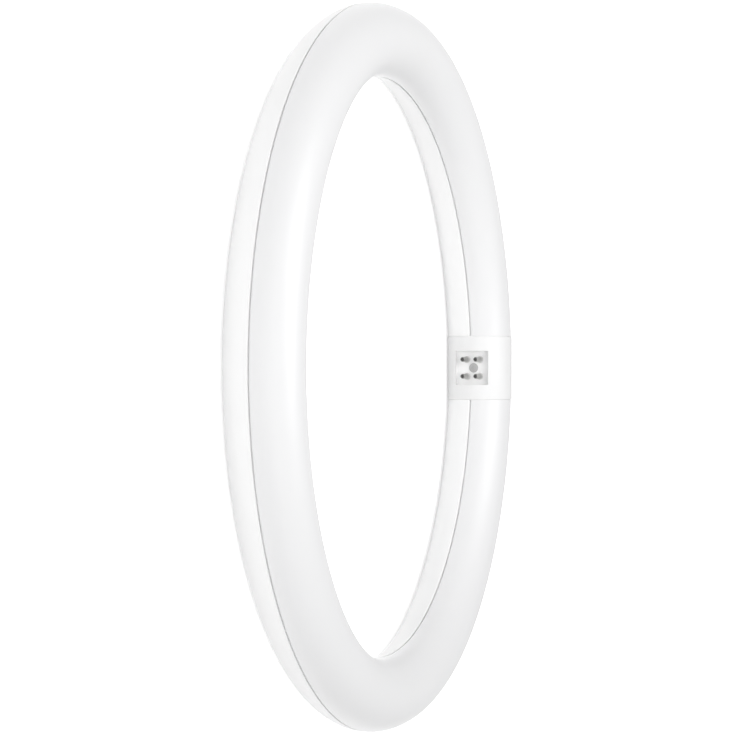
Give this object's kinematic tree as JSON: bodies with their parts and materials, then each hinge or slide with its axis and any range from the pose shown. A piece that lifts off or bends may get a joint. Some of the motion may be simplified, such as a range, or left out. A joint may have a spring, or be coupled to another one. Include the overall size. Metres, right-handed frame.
{
  "type": "circular led tube",
  "caption": "Flat ring lamp: a white rear half and a milky front half make the round tube, and a white clamshell base with contact pins joins its ends.",
  "frame": {"origin": "centre of the ring, in the plane of the seam between its two shells", "axes": "+Z along the ring's axis towards the milky half, +Y towards the base, +X to complete the hand"},
  "size_m": [0.3, 0.2997, 0.0306],
  "materials": {
    "housing_white": "satin opaque white, moulded",
    "diffuser_opal": "milky opal, softly glossy",
    "base_white": "satin opaque white, moulded",
    "pin_metal": "nickel plated, satin",
    "screw_steel": "zinc plated",
    "board_aluminium": "aluminium with a white mask",
    "chip_phosphor": "yellow phosphor",
    "circuit_board": "green mask",
    "black_package": "moulded black",
    "can_sleeve": "black sleeve",
    "resistor_coat": "grey-blue coating",
    "varistor_coat": "blue dipped coating",
    "film_box": "yellow box",
    "ferrite": "dark ferrite",
    "copper_winding": "enamelled copper",
    "tinned_wire": "tinned copper"
  },
  "bodies": {
    "root": {"rear_housing": "housing_white", "driver_board": "circuit_board", "fusible_resistor": "resistor_coat", "varistor": "varistor_coat", "film_capacitor": "film_box", "bridge_rectifier": "black_package", "bulk_capacitor": "can_sleeve", "controller_ic": "black_package", "choke_core": "ferrite", "choke_winding": "copper_winding", "output_diode": "black_package", "output_capacitor": "can_sleeve", "front_diffuser": "diffuser_opal", "base_inner_shell": "base_white", "base_outer_shell": "base_white", "base_screw": "screw_steel", "pin_board": "circuit_board", "led_board_1": "board_aluminium", "led_chips_1": "chip_phosphor", "contact_pin_1": "pin_metal", "led_board_2": "board_aluminium", "led_chips_2": "chip_phosphor", "contact_pin_2": "pin_metal", "led_board_3": "board_aluminium", "led_chips_3": "chip_phosphor", "contact_pin_3": "pin_metal", "led_board_4": "board_aluminium", "led_chips_4": "chip_phosphor", "contact_pin_4": "pin_metal", "board_link_1": "tinned_wire", "board_link_2": "tinned_wire", "board_link_3": "tinned_wire", "output_lead_1": "tinned_wire", "output_lead_2": "tinned_wire"}
  },
  "joints": []
}
